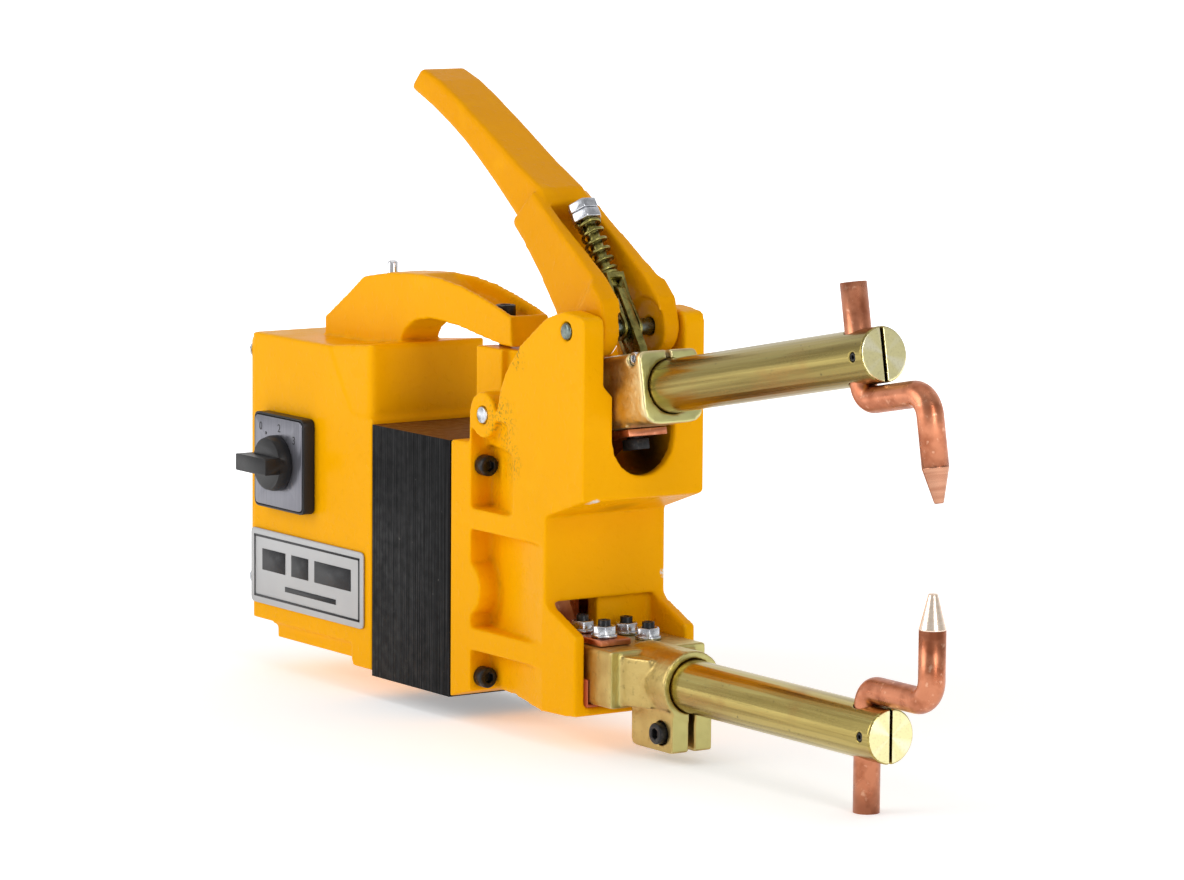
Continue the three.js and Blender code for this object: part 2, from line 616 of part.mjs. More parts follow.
function buildLever() {
  const grip = acrossY([
    [-35.5, 288.6, 2], [-26, 298.6, 4], [-10, 293.2], [4, 286.6], [28, 274], [56, 258.6], [79, 247.3],
    [90, 235], [75, 218], [57, 233.6], [38.2, 248], [24, 258], [11.8, 266], [-2, 273.6], [-15, 280],
  ], -GRIP_HALF, GRIP_HALF);
  const forkSide = acrossY([
    [58.8, 230.2, 3], [76.5, 246, 2], [93.9, 234], [112.7, 222.4], [131.6, 210.4], [142.8, 200.2],
    [146.2, 188], [146.2, 185], [133.2, 172.9], [117.2, 165.9], [109.2, 173.9], [99.6, 191.3],
    [88.2, 204.2], [73, 218.6],
  ], -FORK_HALF, FORK_HALF);
  const rounds = join(
    pinAcross(LEVER_PIVOT, 13, -FORK_HALF, FORK_HALF, 32),
    pinAcross([LEVER_PIVOT[0] - 16, LEVER_PIVOT[1] - 12], 8, -FORK_HALF, FORK_HALF, 24),
  );
  const forkPlan = upZ([
    [-30, -15.5], [8, -15.8], [71, -18.4], [75, -FORK_HALF], [120, -FORK_HALF],
    [120, FORK_HALF], [75, FORK_HALF], [71, 18.4], [8, 15.8], [-30, 15.5],
  ], -80, 80).rotate([0, 38.5, 0]).translate([65, 0, 240]);
  const fork = join(forkSide, rounds).intersect(forkPlan);
  const slot = acrossY([
    [92, 252], [85.5, 241.5], [77.5, 231], [97.5, 207], [91.5, 199], [80, 150], [170, 150], [170, 230],
    [120, 260],
  ], -FORK_SLOT, FORK_SLOT);
  const pinRoom = pinAcross(LEVER_PIVOT, 13.6, -PIN_ROOM_HALF, PIN_ROOM_HALF, 32);
  const bore = pinAcross(LEVER_PIVOT, LEVER_PIN_R + GAP, -30, 30);
  add('lever', cut(join(grip, fork), slot, pinRoom, bore), enamel);
  add('lever_pin', turned([LEVER_PIVOT[0], -34.8, LEVER_PIVOT[1]], [0, 1, 0], [
    [0, 0], [3.2, 0], [LEVER_PIN_R, 0.8], [LEVER_PIN_R, 68.8], [3.2, 69.6], [0, 69.6],
  ], 24), zinc);
}

// Parts of the return rod are laid out along the rod from the pin that ties it to the rocker.
function alongRod(body) {
  const [x, z] = rodPinPlace();
  const angle = THREE.MathUtils.radToDeg(Math.atan2(ROD_DIRECTION.x, ROD_DIRECTION.y));
  return body.rotate([0, angle, 0]).translate([x, 0, z]);
}

function buildReturnRod() {
  const { pinToPivot, linkEnd, rodEnd, nutStart, nut, yokeTop } = ROD;
  const link = acrossY([
    [-4.2, -4.2, 3], [4.2, -4.2, 3], [6.8, 5], [6.8, linkEnd - 4], [3, linkEnd], [-3, linkEnd],
    [-6.8, linkEnd - 4], [-6.8, 5],
  ], -2, 2);
  const slotLow = pinToPivot - LEVER_PIN_R - 0.6;
  const slot = acrossY([
    [-4.4, slotLow, 3], [4.4, slotLow, 3], [4.4, slotLow + 20.5, 3], [-4.4, slotLow + 20.5, 3],
  ], -5, 5);
  const shank = rod([0, 0, linkEnd - 3], [0, 0, 1], 3.2, rodEnd - linkEnd + 3, 16);
  add('pull_rod', alongRod(cut(join(link, shank), slot, pinAcross([0, 0], 2.8, -5, 5, 16))), oliveZinc);
  add('adjusting_nut', alongRod(hexNut([0, 0, nutStart + GAP], [0, 0, 1], 13, nut, 3.5)), zinc);
  add('lock_nut', alongRod(hexNut([0, 0, nutStart + nut + 2 * GAP], [0, 0, 1], 13, nut, 3.5)), zinc);

  const top = pinToPivot + yokeTop;
  const legs = join(
    acrossY([
      [-5, top - 12], [-6.2, pinToPivot], [6.2, pinToPivot], [5, top - 12], [6.2, top], [-6.2, top],
    ], -YOKE.half, YOKE.half),
    pinAcross([0, pinToPivot], 6.2, -YOKE.half, YOKE.half, 24),
  );
  const arch = cut(
    legs,
    box(-20, 20, -YOKE.inside, YOKE.inside, pinToPivot - 20, top - 2.5),
    pinAcross([0, pinToPivot], LEVER_PIN_R + GAP, -20, 20),
    rod([0, 0, top - 5], [0, 0, 1], 3.6, 10, 16),
  );
  add('spring_yoke', alongRod(arch), oliveZinc);

  const [low, high] = [top + GAP, nutStart - GAP];
  const turns = 6;
  const wire = 0.85;
  class Coil extends THREE.Curve {
    getPoint(t, target = new THREE.Vector3()) {
      const angle = t * turns * 2 * Math.PI;
      return target.set(Math.cos(angle) * 5, Math.sin(angle) * 5, low + wire + (high - low - 2 * wire) * t);
    }
  }
  const section = new THREE.Shape();
  section.absarc(0, 0, wire, 0, Math.PI * 2);
  const spring = new THREE.ExtrudeGeometry(section, {
    steps: turns * 14, curveSegments: 3, bevelEnabled: false, extrudePath: new Coil(),
  });
  add('return_spring', alongRod(toSolid(spring)), oliveZinc);
}

// ---------------------------------------------------------------- lower arm and its clamp

const BLOCK_TOP = 39.5;
const BUS_TOP = 42.6;
const STUD_PLACES = [[122, -16], [122, 9], [140, -16], [140, 9]];
const LOWER_ARM_END = 338;
const RECESS_WALL = 113;

function buildLowerArm() {
  const z = ARM.lowerZ;
  const hole = LOWER_ARM_END - ARM_TIP.fromEnd;
  const clampScrewPlace = [179.5, 3];
  const block = alongX(rectangle(-27, 27, 12.5, BLOCK_TOP, 2), RECESS_WALL, 161);
  const ring = rod([152, 0, z], [1, 0, 0], 16.4, 37, 36);
  const ear = acrossY([[156, -5.6, 3], [188.6, -5.6, 1], [188.6, 20], [156, 20]], -11.3, 11.3);
  const neck = upZ([[158, -22], [176, -15], [176, 15], [158, 22]], 14, 37);
  const clamp = cut(
    join(block, ring, ear, neck),
    rod([149.7, 0, z], [1, 0, 0], ARM.radius + GAP, 60, 36),
    box(160, 190, -1.5, 1.5, -7, z),
    pinAcross(clampScrewPlace, 3.3, -20, 20, 16),
    pinAcross(clampScrewPlace, 5.6, -20, -8.4, 20),
    ...STUD_PLACES.map(([x, y]) => rod([x, y, 24], [0, 0, 1], 3.3, 30, 16)),
  );
  add('lower_clamp_block', clamp, brass);
  const screwSize = { headRadius: 5, head: 6, radius: 3, length: 19 };
  const screwFace = [clampScrewPlace[0], -14.7, clampScrewPlace[1]];
  add('lower_clamp_screw', socketScrew(screwFace, [0, 1, 0], screwSize), blackOxide);

  add('lower_arm', armBar(150, LOWER_ARM_END, z, -1), brass);
  add('lower_electrode', bentElectrode(hole, z, STUB.lower, 1), copper);
  add('lower_electrode_screw', armScrew(hole, z, -1), blackOxide);

  STUD_PLACES.forEach(([x, y], index) => {
    const seat = y < 0 ? BUS_TOP + GAP : BLOCK_TOP + GAP;
    const stud = cut(
      rod([x, y, 24.5], [0, 0, 1], 3, seat + 8 - 24.5, 16),
      rod([x, y, seat + 5], [0, 0, 1], 1.5, 5, 6),
    );
    add(`stud_${index + 1}`, stud, blackOxide);
    const flange = rod([x, y, seat], [0, 0, 1], 6.2, 1.4);
    const nut = join(flange, rod([x, y, seat + 1], [0, 0, 1], 5.77, 4.2, 6));
    add(`stud_nut_${index + 1}`, cut(nut, rod([x, y, seat - 1], [0, 0, 1], 3.3, 12, 16)), zinc);
  });

  const bus = cut(
    join(
      box(96, 149, -24, -7, BLOCK_TOP + GAP, BUS_TOP),
      box(96, 103, -26.5, -5, BLOCK_TOP + GAP, 100),
    ),
    ...STUD_PLACES.map(([x, y]) => rod([x, y, 30], [0, 0, 1], 3.3, 30, 16)),
  );
  add('bus_bar', bus, copper);

  const liner = alongX([
    [-28.1, 11], [28.1, 11], [28.1, 24], [27.3, 24], [27.3, 12.2], [-27.3, 12.2], [-27.3, 24], [-28.1, 24],
  ], RECESS_WALL, 144);
  add('lower_insulator', liner, insulation);
}

// ---------------------------------------------------------------- assembly

buildCore();
buildTieBolts();
buildWindings();
buildRearCasting();
buildRearCover();
buildSwitch();
buildTrigger();
buildFrontCasting();
buildRocker();
buildUpperArm();
buildShunt();
buildLever();
buildReturnRod();
buildLowerArm();

export default object;
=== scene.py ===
import json
import math

import bmesh
import bpy
from mathutils import Matrix, Vector


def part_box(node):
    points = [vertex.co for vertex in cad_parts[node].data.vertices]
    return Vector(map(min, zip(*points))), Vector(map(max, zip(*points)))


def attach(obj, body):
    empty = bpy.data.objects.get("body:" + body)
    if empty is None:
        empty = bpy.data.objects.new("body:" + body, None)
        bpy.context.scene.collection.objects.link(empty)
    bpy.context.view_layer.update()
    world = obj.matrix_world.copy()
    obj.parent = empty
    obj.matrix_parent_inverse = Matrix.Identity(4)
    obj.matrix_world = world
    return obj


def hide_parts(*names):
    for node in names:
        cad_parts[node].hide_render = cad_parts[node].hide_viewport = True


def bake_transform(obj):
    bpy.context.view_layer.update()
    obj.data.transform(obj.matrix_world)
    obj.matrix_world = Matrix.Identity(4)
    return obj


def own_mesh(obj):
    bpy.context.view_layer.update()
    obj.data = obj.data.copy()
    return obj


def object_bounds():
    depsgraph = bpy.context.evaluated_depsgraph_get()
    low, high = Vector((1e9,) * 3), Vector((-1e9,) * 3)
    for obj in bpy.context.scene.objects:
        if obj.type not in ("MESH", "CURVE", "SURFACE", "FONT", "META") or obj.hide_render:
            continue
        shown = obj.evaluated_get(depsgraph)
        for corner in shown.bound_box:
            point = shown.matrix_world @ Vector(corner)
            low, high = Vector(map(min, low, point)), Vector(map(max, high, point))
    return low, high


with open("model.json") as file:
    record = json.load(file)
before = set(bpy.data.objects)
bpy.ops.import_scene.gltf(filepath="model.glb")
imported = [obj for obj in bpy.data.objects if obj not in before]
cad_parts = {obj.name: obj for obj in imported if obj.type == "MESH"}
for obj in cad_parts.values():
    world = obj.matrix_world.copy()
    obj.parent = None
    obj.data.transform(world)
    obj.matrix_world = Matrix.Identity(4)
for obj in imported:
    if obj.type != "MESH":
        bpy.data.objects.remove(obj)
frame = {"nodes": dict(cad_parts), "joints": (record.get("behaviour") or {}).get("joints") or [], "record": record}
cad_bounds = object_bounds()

MM = 0.001
BODY_OF = {
    node: body
    for body, nodes in frame["record"]["behaviour"]["bodies"].items()
    for node in nodes
}
SLOT_OF = {entry["node"]: entry["material_slot"] for entry in frame["record"]["subparts"]}
ARM_TILT = math.radians(10.73)  # of the upper arm, tip up, as it stands open

# Millimetres, unless a name says otherwise.
ARM_ABOVE_PIVOT = 2.3
UPPER_HOLE = 254.5  # along the tilted arm, from the rocker's pivot
LOWER_HOLE = 321  # from the middle of the core
UPPER_STUB = 33.2
LOWER_STUB = 36.3
ELECTRODE_RADIUS = 6
POINT_PROFILE = [
    (0, 0), (6.02, 0), (6.02, 0.4), (5.85, 0.9), (2.2, 15.1), (1.85, 15.7), (0, 15.7),
]
DIAL_MARKS = (("0", -16.9, 16.8), ("2", 1, 17.3), ("3", 15.2, 12.6))  # across and up from the middle
DIAL_MARK_HEIGHT = 5.8
PLATE_BARS = (  # shares of the border: start, end, middle height, thickness
    (0.08, 0.30, 0.62, 0.34),
    (0.36, 0.52, 0.62, 0.34),
    (0.58, 0.92, 0.62, 0.34),
    (0.30, 0.78, 0.22, 0.08),
)


# ------------------------------------------------------------------ camera, floor and light

def make_camera():
    azimuth = math.radians(55.6)
    elevation = math.radians(7.35)
    roll = math.radians(0.43)
    right = Vector((math.cos(azimuth), math.sin(azimuth), 0))
    back = Vector((
        math.sin(azimuth) * math.cos(elevation),
        -math.cos(azimuth) * math.cos(elevation),
        math.sin(elevation),
    ))
    up = back.cross(right)
    side = right * math.cos(roll) + up * math.sin(roll)
    top = up * math.cos(roll) - right * math.sin(roll)
    data = bpy.data.cameras.new("camera")
    data.sensor_width = 36
    data.lens = 158.1
    data.clip_end = 50
    camera = bpy.data.objects.new("camera", data)
    bpy.context.scene.collection.objects.link(camera)
    place = Matrix((side, top, back)).transposed().to_4x4()
    place.translation = Vector((2.1061, -1.3699, 0.4429))
    camera.matrix_world = place
    bpy.context.scene.camera = camera


def make_world():
    """Bright behind the object, darker in front of it, so that metal keeps its contrast."""
    world = bpy.data.worlds.new("studio")
    bpy.context.scene.world = world
    world.use_nodes = True
    nodes = world.node_tree.nodes
    links = world.node_tree.links
    background = nodes["Background"]
    coordinates = nodes.new("ShaderNodeTexCoord")
    towards = nodes.new("ShaderNodeVectorMath")
    towards.operation = "DOT_PRODUCT"
    towards.inputs[1].default_value = (-0.8, 0.55, 0.1)
    level = nodes.new("ShaderNodeMapRange")
    level.inputs["From Min"].default_value = 0.1
    level.inputs["From Max"].default_value = 0.8
    level.inputs["To Min"].default_value = 0.48
    level.inputs["To Max"].default_value = 1.0
    links.new(coordinates.outputs["Generated"], towards.inputs[0])
    links.new(towards.outputs["Value"], level.inputs["Value"])
    links.new(level.outputs["Result"], background.inputs["Strength"])
    background.inputs["Color"].default_value = (1, 1, 1, 1)


def area_light(name, place, size, power, target=(0.1, 0, 0.12)):
    data = bpy.data.lights.new(name, "AREA")
    data.shape = "RECTANGLE"
    data.size, data.size_y = size
    data.energy = power
    light = bpy.data.objects.new(name, data)
    light.location = place
    light.rotation_euler = (Vector(target) - Vector(place)).to_track_quat("-Z", "Y").to_euler()
    bpy.context.scene.collection.objects.link(light)


def floor_material():
    """Pale paper that brightens to plain white away from the object."""
    material = bpy.data.materials.new("floor")
    material.use_nodes = True
    nodes = material.node_tree.nodes
    links = material.node_tree.links
    shader = nodes["Principled BSDF"]
    shader.inputs["Base Color"].default_value = (0.93, 0.93, 0.93, 1)
    shader.inputs["Roughness"].default_value = 0.9
    shader.inputs["Emission Color"].default_value = (1, 1, 1, 1)
    place = nodes.new("ShaderNodeTexCoord")
    reach = nodes.new("ShaderNodeVectorMath")
    reach.operation = "DISTANCE"
    reach.inputs[1].default_value = (0.1, 0, cad_bounds[0][2])
    glow = nodes.new("ShaderNodeMapRange")
    glow.inputs["From Min"].default_value = 0.25
    glow.inputs["From Max"].default_value = 1.4
    glow.inputs["To Min"].default_value = 0.3
    glow.inputs["To Max"].default_value = 0.9
    links.new(place.outputs["Object"], reach.inputs[0])
    links.new(reach.outputs["Value"], glow.inputs["Value"])
    links.new(glow.outputs["Result"], shader.inputs["Emission Strength"])
    return material


def make_studio():
    bpy.context.scene.view_settings.view_transform = "Standard"
    make_world()
    area_light("key_left", (-0.7, -2.0, 1.0), (1.6, 1.6), 19)
    area_light("overhead", (0.2, -0.1, 2.2), (2.0, 1.6), 4)
    area_light("front_strip", (2.4, -0.2, 0.9), (0.4, 1.4), 15)

    low = cad_bounds[0][2]
    half = 40
    mesh = bpy.data.meshes.new("floor")
    corners = [(-half, -half, low), (half, -half, low), (half, half, low), (-half, half, low)]
    mesh.from_pydata(corners, [], [(0, 1, 2, 3)])
    floor = bpy.data.objects.new("floor", mesh)
    bpy.context.scene.collection.objects.link(floor)
    mesh.materials.append(floor_material())


# ------------------------------------------------------------------ material helpers

class Look:
    """A Principled material and short calls for the textures that drive it."""

    def __init__(self, name, colour, roughness, metallic=0.0, coat=0.0):
        self.material = bpy.data.materials.new(name)
        self.material.use_nodes = True
        self.nodes = self.material.node_tree.nodes
        self.links = self.material.node_tree.links
        self.shader = self.nodes["Principled BSDF"]
        self.shader.inputs["Base Color"].default_value = (*colour, 1)
        self.shader.inputs["Roughness"].default_value = roughness
        self.shader.inputs["Metallic"].default_value = metallic
        self.shader.inputs["Coat Weight"].default_value = coat
        self.shader.inputs["Coat Roughness"].default_value = 0.12
        self.colour = None
        self.start = colour

    def noise(self, scale, detail=3, stretch=(1, 1, 1), turn=0.0):
        """Noise in the object's own metres; stretch squeezes it along an axis, turn tilts it about Y."""
        place = self.nodes.new("ShaderNodeTexCoord")
        mapping = self.nodes.new("ShaderNodeMapping")
        mapping.inputs["Scale"].default_value = stretch
        mapping.inputs["Rotation"].default_value = (0, turn, 0)
        texture = self.nodes.new("ShaderNodeTexNoise")
        texture.inputs["Scale"].default_value = scale
        texture.inputs["Detail"].default_value = detail
        self.links.new(place.outputs["Object"], mapping.inputs["Vector"])
        self.links.new(mapping.outputs["Vector"], texture.inputs["Vector"])
        return texture.outputs["Fac"]

    def steps(self, value, low, high, first=0.0, last=1.0):
        """Stretches value, so that low becomes first and high becomes last."""
        node = self.nodes.new("ShaderNodeMapRange")
        node.inputs["From Min"].default_value = low
        node.inputs["From Max"].default_value = high
        node.inputs["To Min"].default_value = first
        node.inputs["To Max"].default_value = last
        self.links.new(value, node.inputs["Value"])
        return node.outputs["Result"]

    def calculate(self, operation, *values):
        """A maths node; each value is a number or another node's output."""
        node = self.nodes.new("ShaderNodeMath")
        node.operation = operation
        for place, value in zip(node.inputs, values):
            if isinstance(value, (int, float)):
                place.default_value = value
            else:
                self.links.new(value, place)
        return node.outputs["Value"]

    def product(self, a, b):
        return self.calculate("MULTIPLY", a, b)

    def mix(self, amount, colour):
        """Lays a colour over what is there so far, by amount."""
        node = self.nodes.new("ShaderNodeMix")
        node.data_type = "RGBA"
        if self.colour is None:
            node.inputs["A"].default_value = (*self.start, 1)
        else:
            self.links.new(self.colour, node.inputs["A"])
        node.inputs["B"].default_value = (*colour, 1)
        self.links.new(amount, node.inputs["Factor"])
        self.colour = node.outputs["Result"]
        self.links.new(self.colour, self.shader.inputs["Base Color"])

    def roughness(self, value, low, high):
        self.links.new(self.steps(value, 0.3, 0.7, low, high), self.shader.inputs["Roughness"])

    def bump(self, height, strength, distance):
        node = self.nodes.new("ShaderNodeBump")
        node.inputs["Strength"].default_value = strength
        node.inputs["Distance"].default_value = distance
        self.links.new(height, node.inputs["Height"])
        normal = self.shader.inputs["Normal"]
        if normal.is_linked:
            self.links.new(normal.links[0].from_socket, node.inputs["Normal"])
        self.links.new(node.outputs["Normal"], normal)

    def distance(self, centre):
        """How far the surface is from a point given in millimetres."""
        node = self.nodes.new("ShaderNodeVectorMath")
        node.operation = "DISTANCE"
        node.inputs[1].default_value = [value * MM for value in centre]
        self.links.new(self.nodes.new("ShaderNodeTexCoord").outputs["Object"], node.inputs[0])
        return node.outputs["Value"]

    def pointiness(self):
        return self.nodes.new("ShaderNodeNewGeometry").outputs["Pointiness"]

    def facing(self, axis):
        """How far the surface looks along one axis of the object, from -1 to 1."""
        split = self.nodes.new("ShaderNodeSeparateXYZ")
        self.links.new(self.nodes.new("ShaderNodeTexCoord").outputs["Normal"], split.inputs["Vector"])
        return split.outputs[axis]

    def coordinate(self, axis):
        """Place along one axis of the object, in metres."""
        split = self.nodes.new("ShaderNodeSeparateXYZ")
        self.links.new(self.nodes.new("ShaderNodeTexCoord").outputs["Object"], split.inputs["Vector"])
        return split.outputs[axis]


# ------------------------------------------------------------------ materials

def scaled(share, colour):
    return tuple(share * channel for channel in colour)


def enamel(name="enamel", base=(0.86, 0.385, 0.0005), grime=(), chips=(), painted_shade=()):
    """Yellow paint over sand-cast metal, with painted shade in its hollows and painted highlights along its edges.

    Three lists of (centre, radius), in turn: dirt, bare metal, and painted shade that darkens an unlit room
    inside.
    """
    look = Look(name, base, 0.34, coat=0.05)
    look.shader.inputs["Specular IOR Level"].default_value = 0.02
    look.shader.inputs["Specular Tint"].default_value = (1, 0.7, 0.2, 1)
    look.mix(look.steps(look.noise(16), 0.35, 0.7, 0, 0.5), scaled(0.92, base))
    look.mix(look.steps(look.noise(60, 5), 0.55, 0.75, 0, 0.25), (0.88, 0.43, 0.003))
    # Painted shade: a darker, browner orange, speckled, in the hollows where the surface curves inwards.
    hollow_shade = look.steps(look.pointiness(), 0.485, 0.43)
    look.mix(look.product(hollow_shade, look.steps(look.noise(140, 5), 0.4, 0.75)), (0.34, 0.13, 0.004))
    # Painted highlight: a lighter yellow along the convex edges.
    look.mix(look.steps(look.pointiness(), 0.54, 0.6, 0, 0.7), (0.95, 0.58, 0.04))
    worn = look.steps(look.pointiness(), 0.58, 0.64)
    look.mix(look.product(worn, look.steps(look.noise(260, 6), 0.6, 0.64)), (0.72, 0.62, 0.40))
    for centre, radius in grime:
        near = look.steps(look.distance(centre), radius * MM, radius * 0.2 * MM)
        speckle = look.steps(look.noise(700, 8), 0.5, 0.66, 0, 0.8)
        look.mix(look.product(near, speckle), (0.13, 0.12, 0.02))
    for centre, radius in chips:
        near = look.steps(look.distance(centre), radius * MM, radius * 0.7 * MM)
        flakes = look.steps(look.noise(900, 4), 0.42, 0.5)
        look.mix(look.product(near, flakes), (0.72, 0.70, 0.66))
    # Painted shade: near black over an unlit room inside the casting, fading out towards its rim.
    for centre, radius in painted_shade:
        near = look.steps(look.distance(centre), radius * MM, radius * 0.75 * MM, 0, 0.93)
        look.mix(near, (0.03, 0.018, 0.008))
    look.roughness(look.noise(45, 4), 0.24, 0.4)
    look.bump(look.noise(110, 4), 0.3, 0.0014)
    look.bump(look.steps(look.noise(330, 4), 0.56, 0.7), 0.3, 0.0006)
    return look.material


def lamination():
    """Painted edges of thin stacked sheets, with a painted brown reflection on its top."""
    look = Look("lamination", (0.003, 0.003, 0.0035), 0.5)
    look.shader.inputs["Specular IOR Level"].default_value = 0.09
    sheets = look.noise(1100, 1, stretch=(1, 0.02, 0.01))
    look.mix(look.steps(sheets, 0.48, 0.66, 0, 0.85), (0.018, 0.018, 0.019))
    look.mix(look.steps(look.noise(300, 5), 0.7, 0.78, 0, 0.6), (0.10, 0.095, 0.085))
    # Painted reflection: faces turned up take the brown of the yellow castings reflected in them.
    look.mix(look.steps(look.facing("Z"), 0.5, 0.9, 0, 0.85), (0.17, 0.062, 0.010))
    look.roughness(look.noise(200, 3), 0.36, 0.6)
    look.bump(sheets, 0.7, 0.0008)
    return look.material


def drawn_brass(name, tone):
    """Drawn bar: long fine streaks along the bar's own X axis; tone darkens the metal."""
    look = Look(name, scaled(tone, (0.52, 0.41, 0.13)), 0.22, metallic=1.0)
    streaks = look.noise(330, 4, stretch=(0.02, 1, 1))
    look.mix(look.steps(streaks, 0.45, 0.64, 0, 0.8), scaled(tone, (0.27, 0.20, 0.055)))
    bright = look.steps(look.noise(150, 4, stretch=(0.03, 1, 1)), 0.56, 0.68, 0, 0.7)
    look.mix(bright, scaled(tone, (0.72, 0.66, 0.26)))
    tarnish = look.steps(look.noise(60, 6, stretch=(0.5, 1, 1)), 0.56, 0.7, 0, 0.55)
    look.mix(tarnish, (0.34, 0.19, 0.055))
    look.mix(look.steps(look.noise(500, 6), 0.66, 0.72, 0, 0.6), (0.07, 0.06, 0.03))
    look.roughness(streaks, 0.16, 0.32)
    look.bump(streaks, 0.15, 0.0003)
    return look.material


def turned_brass():
    """The faced end of a bar along X, with the fan of light that a lathe's rings give, painted on as highlights.
    """
    look = Look("turned_brass", (0.90, 0.83, 0.44), 0.3, metallic=1.0)
    angle = look.calculate("ARCTAN2", look.coordinate("Z"), look.coordinate("Y"))
    # Painted highlight: pale fans at fixed angles round the bar's axis.
    for turn, width, amount in ((0.55, 0.72, 0.9), (1.5, 0.9, 0.45), (2.5, 0.93, 0.4)):
        doubled = look.product(look.calculate("ADD", angle, turn), 2)
        fan = look.calculate("COSINE", doubled)
        look.mix(look.steps(fan, width, 1.0, 0, amount), (0.98, 0.93, 0.66))
    look.mix(look.steps(look.noise(900, 4), 0.5, 0.75, 0, 0.3), (0.50, 0.44, 0.2))
    return look.material


def cast_brass(name, colour, shade, machined_colour):
    """Sand-cast brass: mottled and pitted, bright on its edges, machined on faces to +X and up."""
    look = Look(name, colour, 0.36, metallic=1.0)
    look.mix(look.steps(look.noise(75, 6), 0.4, 0.7, 0, 0.85), shade)
    look.mix(look.steps(look.noise(420, 5), 0.6, 0.72, 0, 0.5), scaled(0.5, colour))
    look.mix(look.steps(look.facing("X"), 0.9, 0.98), machined_colour)
    look.mix(look.steps(look.facing("Z"), 0.9, 0.98, 0, 0.7), machined_colour)
    look.mix(look.steps(look.pointiness(), 0.54, 0.6, 0, 0.8), (0.95, 0.86, 0.50))
    look.roughness(look.noise(260, 4), 0.28, 0.46)
    look.bump(look.noise(240, 5), 0.35, 0.0008)
    look.bump(look.noise(900, 3), 0.25, 0.0003)
    return look.material


def copper():
    look = Look("copper", (0.62, 0.24, 0.13), 0.26, metallic=1.0)
    look.mix(look.steps(look.noise(110, 6), 0.42, 0.66, 0, 0.85), (0.34, 0.10, 0.045))
    look.mix(look.steps(look.noise(320, 5), 0.62, 0.74, 0, 0.7), (0.86, 0.50, 0.33))
    look.roughness(look.noise(150, 4), 0.24, 0.42)
    look.bump(look.noise(420, 4), 0.2, 0.0004)
    return look.material


def dressed_copper(name, colour, shade):
    """An electrode point dressed on a lathe."""
    look = Look(name, colour, 0.26, metallic=1.0)
    rings = look.noise(500, 2, stretch=(0.05, 0.05, 1))
    look.mix(look.steps(rings, 0.4, 0.65, 0, 0.6), shade)
    look.bump(rings, 0.25, 0.0003)
    return look.material


def plated_steel(name, colour, shade, roughness):
    look = Look(name, colour, roughness, metallic=1.0)
    look.mix(look.steps(look.noise(300, 5), 0.42, 0.66, 0, 0.8), shade)
    look.roughness(look.noise(500, 3), roughness - 0.08, roughness + 0.12)
    look.bump(look.noise(900, 3), 0.12, 0.0002)
    return look.material


def black_oxide():
    look = Look("black_oxide", (0.022, 0.022, 0.023), 0.38, metallic=0.7)
    look.mix(look.steps(look.noise(500, 5), 0.55, 0.75, 0, 0.6), (0.09, 0.08, 0.07))
    look.bump(look.noise(1100, 3), 0.2, 0.0003)
    return look.material


def black_plastic():
    look = Look("black_plastic", (0.010, 0.010, 0.011), 0.4)
    look.shader.inputs["Specular IOR Level"].default_value = 0.25
    look.mix(look.steps(look.noise(60, 4), 0.4, 0.8, 0, 0.5), (0.022, 0.020, 0.020))
    look.bump(look.noise(1500, 2), 0.18, 0.0002)
    return look.material


def brushed_plate():
    look = Look("brushed_plate", (0.19, 0.19, 0.22), 0.34, metallic=0.7)
    grain = look.noise(1500, 2, stretch=(1, 1, 0.02))
    look.mix(look.steps(grain, 0.35, 0.7, 0, 0.55), (0.27, 0.27, 0.30))
    look.mix(look.steps(look.noise(25), 0.4, 0.7, 0, 0.4), (0.13, 0.13, 0.16))
    look.bump(grain, 0.15, 0.0002)
    return look.material


def satin_plate():
    look = Look("plate", (0.47, 0.47, 0.47), 0.4, metallic=0.6)
    look.mix(look.steps(look.noise(30), 0.35, 0.7, 0, 0.5), (0.40, 0.40, 0.41))
    look.bump(look.noise(1400, 2, stretch=(0.05, 1, 1)), 0.1, 0.0002)
    return look.material


def chrome():
    look = Look("chrome", (0.78, 0.78, 0.80), 0.1, metallic=1.0)
    look.mix(look.steps(look.noise(300, 4), 0.55, 0.75, 0, 0.4), (0.6, 0.58, 0.55))
    return look.material


def insulation():
    look = Look("insulation", (0.42, 0.07, 0.02), 0.5)
    look.mix(look.steps(look.noise(90, 5), 0.4, 0.7, 0, 0.7), (0.58, 0.13, 0.03))
    look.bump(look.noise(700, 3), 0.2, 0.0003)
    return look.material


def printed_black():
    look = Look("printed_black", (0.012, 0.012, 0.014), 0.5)
    look.mix(look.steps(look.noise(800, 3), 0.5, 0.8, 0, 0.4), (0.04, 0.04, 0.045))
    return look.material


